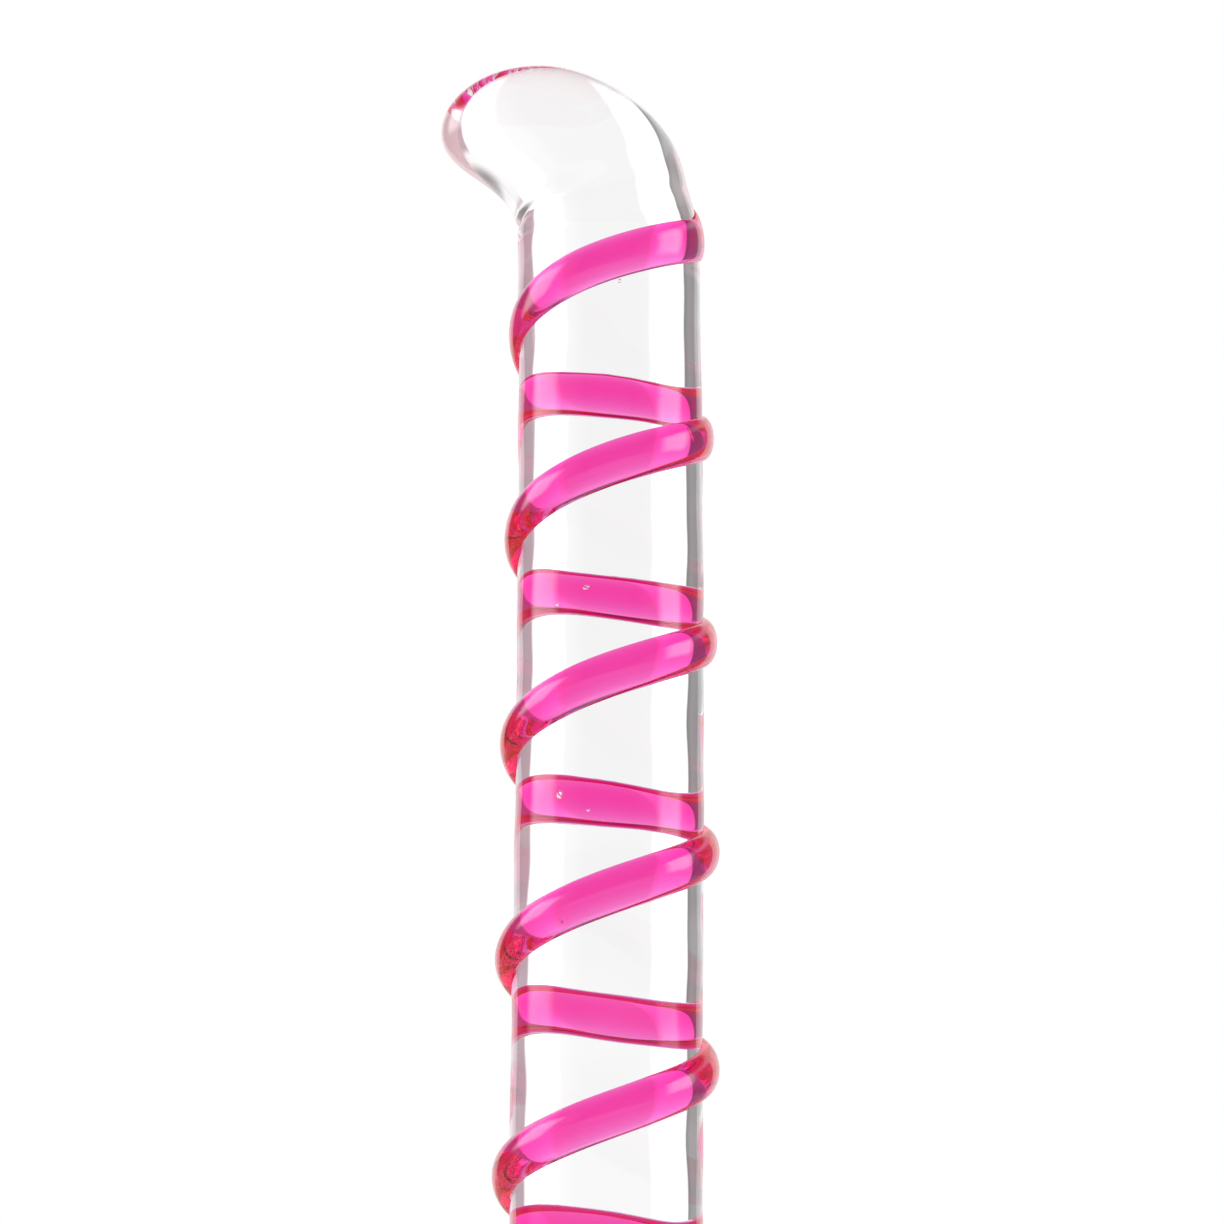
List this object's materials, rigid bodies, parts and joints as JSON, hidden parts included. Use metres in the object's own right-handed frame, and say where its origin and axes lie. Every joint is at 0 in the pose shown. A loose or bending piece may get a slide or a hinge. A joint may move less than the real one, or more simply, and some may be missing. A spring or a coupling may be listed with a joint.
{
  "type": "glass dip pen",
  "caption": "Clear glass dip pen: solid rod with a bent-over head, a raised pink glass spiral, a plain grip, a small bead and a twisted fluted nib.",
  "frame": {"origin": "middle of the plain grip, on the rod's axis", "axes": "+Z along the rod from the nib to the bent head; the head turns over towards -X"},
  "size_m": [0.0152, 0.012, 0.1698],
  "materials": {
    "clear_glass": "fire-polished",
    "pink_glass": "fire-polished"
  },
  "bodies": {
    "root": {"handle_rod": "clear_glass", "spiral_trail": "pink_glass", "joint_bead": "pink_glass", "nib": "clear_glass"}
  },
  "joints": []
}
